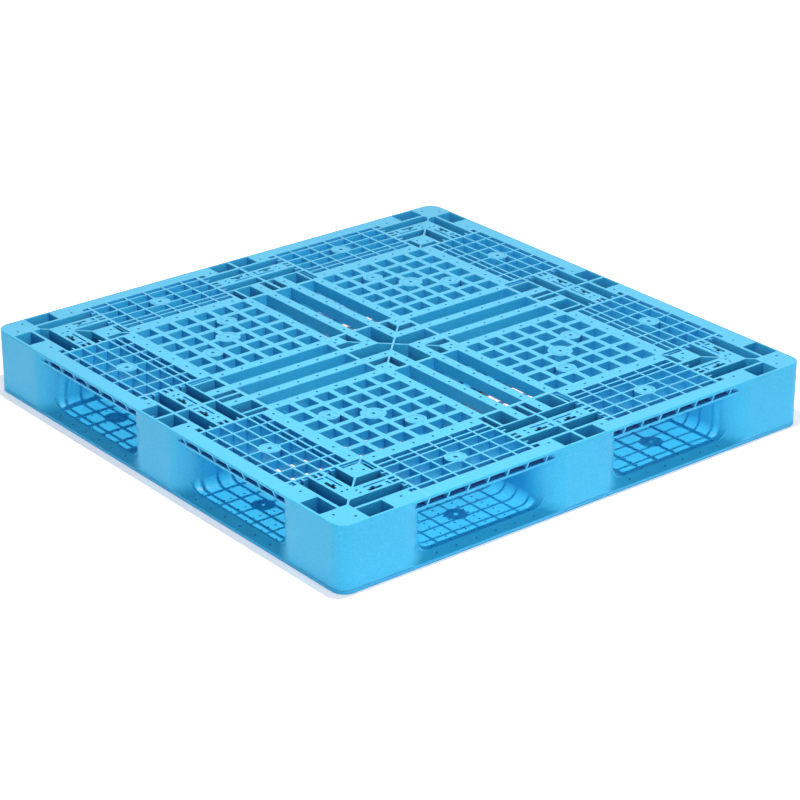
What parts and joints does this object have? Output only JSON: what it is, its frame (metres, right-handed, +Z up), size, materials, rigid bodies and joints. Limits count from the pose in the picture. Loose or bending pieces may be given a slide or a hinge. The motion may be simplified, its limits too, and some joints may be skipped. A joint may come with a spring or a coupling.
{
  "type": "plastic pallet",
  "caption": "Flat four-way-entry plastic pallet with a ribbed lattice deck, hollow support blocks and a framed lower deck.",
  "frame": {"origin": "centre of the footprint, on the floor face of the lower deck", "axes": "+Z up from the floor face to the load deck; X and Y along the two equal sides"},
  "size_m": [1.1, 1.1, 0.13],
  "materials": {
    "pallet_plastic": "satin moulded polypropylene, light blue"
  },
  "bodies": {
    "root": {"lower_centre_block": "pallet_plastic", "lower_corner_block_back_left": "pallet_plastic", "lower_corner_block_back_right": "pallet_plastic", "lower_corner_block_front_left": "pallet_plastic", "lower_corner_block_front_right": "pallet_plastic", "lower_cross_arm_back": "pallet_plastic", "lower_cross_arm_front": "pallet_plastic", "lower_cross_arm_left": "pallet_plastic", "lower_cross_arm_right": "pallet_plastic", "lower_edge_back_left": "pallet_plastic", "lower_edge_back_right": "pallet_plastic", "lower_edge_front_left": "pallet_plastic", "lower_edge_front_right": "pallet_plastic", "lower_edge_left_back": "pallet_plastic", "lower_edge_left_front": "pallet_plastic", "lower_edge_right_back": "pallet_plastic", "lower_edge_right_front": "pallet_plastic", "lower_middle_block_back": "pallet_plastic", "lower_middle_block_front": "pallet_plastic", "lower_middle_block_left": "pallet_plastic", "lower_middle_block_right": "pallet_plastic", "upper_centre_block": "pallet_plastic", "upper_corner_block_back_left": "pallet_plastic", "upper_corner_block_back_right": "pallet_plastic", "upper_corner_block_front_left": "pallet_plastic", "upper_corner_block_front_right": "pallet_plastic", "upper_cross_arm_back": "pallet_plastic", "upper_cross_arm_front": "pallet_plastic", "upper_cross_arm_left": "pallet_plastic", "upper_cross_arm_right": "pallet_plastic", "upper_edge_back_left": "pallet_plastic", "upper_edge_back_right": "pallet_plastic", "upper_edge_front_left": "pallet_plastic", "upper_edge_front_right": "pallet_plastic", "upper_edge_left_back": "pallet_plastic", "upper_edge_left_front": "pallet_plastic", "upper_edge_right_back": "pallet_plastic", "upper_edge_right_front": "pallet_plastic", "upper_middle_block_back": "pallet_plastic", "upper_middle_block_front": "pallet_plastic", "upper_middle_block_left": "pallet_plastic", "upper_middle_block_right": "pallet_plastic", "upper_panel_back_left": "pallet_plastic", "upper_panel_back_right": "pallet_plastic", "upper_panel_front_left": "pallet_plastic", "upper_panel_front_right": "pallet_plastic"}
  },
  "joints": []
}
